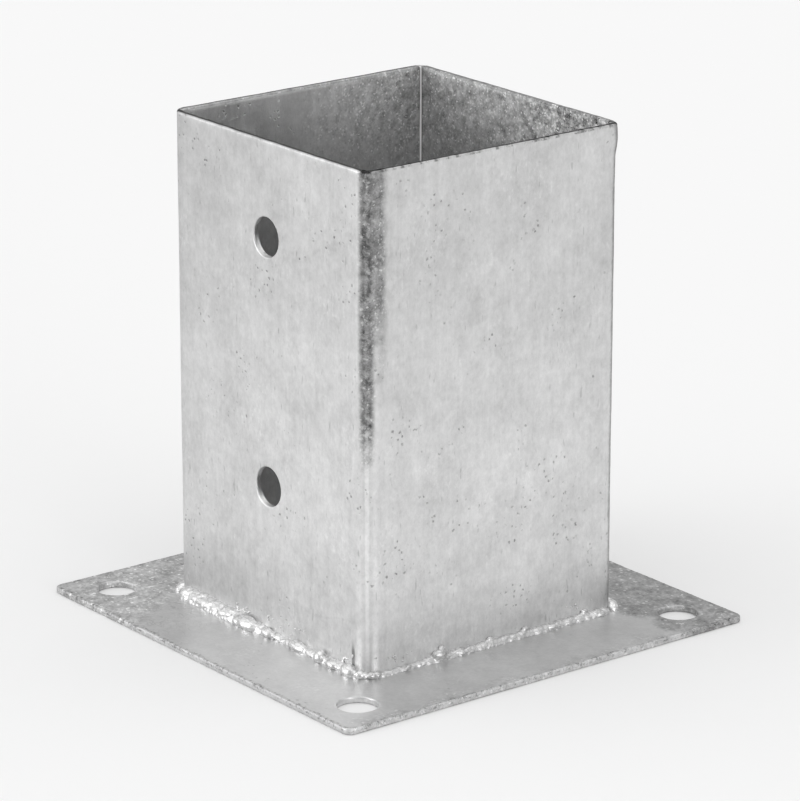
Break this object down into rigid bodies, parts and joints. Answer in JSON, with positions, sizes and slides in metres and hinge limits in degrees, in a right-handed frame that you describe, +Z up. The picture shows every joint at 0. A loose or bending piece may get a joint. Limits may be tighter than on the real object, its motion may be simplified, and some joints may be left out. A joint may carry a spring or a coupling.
{
  "type": "timber post base",
  "caption": "Bolt-down base for a square timber post: a folded steel sleeve with bolt holes, welded to a flat square plate, hot-dip galvanised.",
  "frame": {"origin": "centre of the base plate's underside", "axes": "+Z up along the sleeve, -Y out of the sleeve's front face, which has bolt holes as the back face has, +X to the right as one looks at the front; the sleeve's welded corner is the -X, +Y one"},
  "size_m": [0.15, 0.15, 0.154],
  "materials": {
    "galvanised_steel": "hot-dip galvanised mild steel sheet: light neutral grey zinc, cloudy, with fine runs, pits and drips",
    "galvanised_weld": "weld metal under the same hot-dip zinc: brighter, lumpy and smooth"
  },
  "bodies": {
    "root": {"base_plate": "galvanised_steel", "post_sleeve": "galvanised_steel", "corner_seam_weld": "galvanised_weld", "foot_weld_front": "galvanised_weld", "foot_weld_right": "galvanised_weld", "foot_weld_back": "galvanised_weld", "foot_weld_left": "galvanised_weld"}
  },
  "joints": []
}
